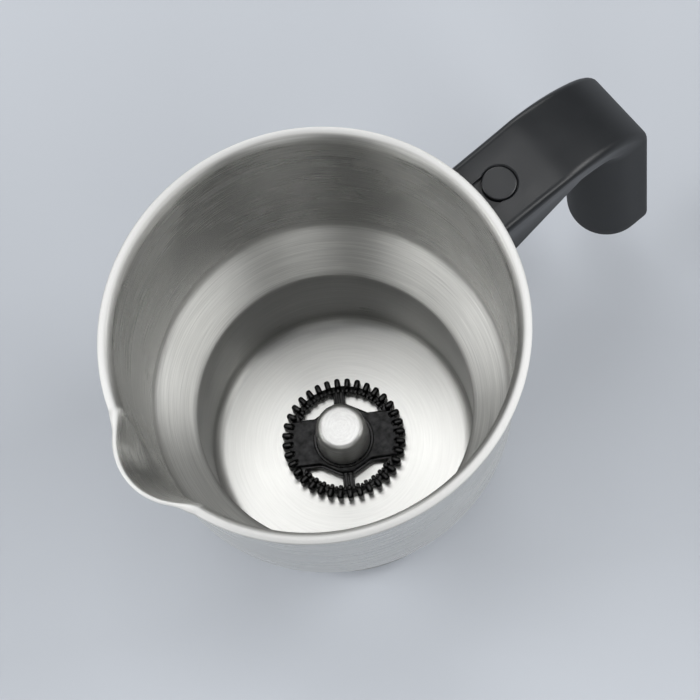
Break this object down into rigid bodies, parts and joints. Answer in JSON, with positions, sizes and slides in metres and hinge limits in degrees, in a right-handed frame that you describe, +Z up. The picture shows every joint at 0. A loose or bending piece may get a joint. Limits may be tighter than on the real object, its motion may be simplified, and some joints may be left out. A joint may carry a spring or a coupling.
{
  "type": "milk frother jug",
  "caption": "Open steel milk frothing jug with a pressed spout, a stepped-in lower barrel, a down-turned plastic handle and a magnetic whisk turning on its floor spindle.",
  "frame": {"origin": "centre of the base cap's flat underside, on the jug's axis", "axes": "+Z up along the jug's axis, +X towards the handle, -X towards the spout"},
  "size_m": [0.1757, 0.115, 0.13],
  "materials": {
    "shell_steel": "brushed inside and out, satin rim",
    "base_steel": "satin",
    "core_aluminium": "as rolled",
    "spindle_steel": "polished side, satin top",
    "bracket_steel": "as pressed",
    "fastener_steel": "bright zinc",
    "handle_plastic": "fine matte charcoal",
    "frame_plastic": "glossy black",
    "plate_plastic": "satin dark grey",
    "bush_plastic": "smooth black, low friction",
    "magnet_nickel": "nickel plated"
  },
  "bodies": {
    "jug": {"jug_shell": "shell_steel", "base_cap": "base_steel", "heat_core": "core_aluminium", "spindle": "spindle_steel", "handle_bracket": "bracket_steel", "bracket_nut": "fastener_steel", "handle_body": "handle_plastic", "handle_screw": "fastener_steel", "lock_washer": "fastener_steel", "screw_plug": "handle_plastic"},
    "bush": {"hub_bush": "bush_plastic"},
    "whisk": {"whisk_frame": "frame_plastic", "whisk_plate": "plate_plastic", "magnet_left": "magnet_nickel", "magnet_right": "magnet_nickel"}
  },
  "joints": [
    {"name": "whisk_lift", "type": "slide", "parent": "jug", "child": "bush", "axis": [0, 0, 1], "range_m": [0, 0.13]},
    {"name": "whisk_spin", "type": "hinge", "parent": "bush", "child": "whisk", "pos_m": [0, 0, 0.008], "axis": [0, 0, 1], "continuous": true}
  ]
}
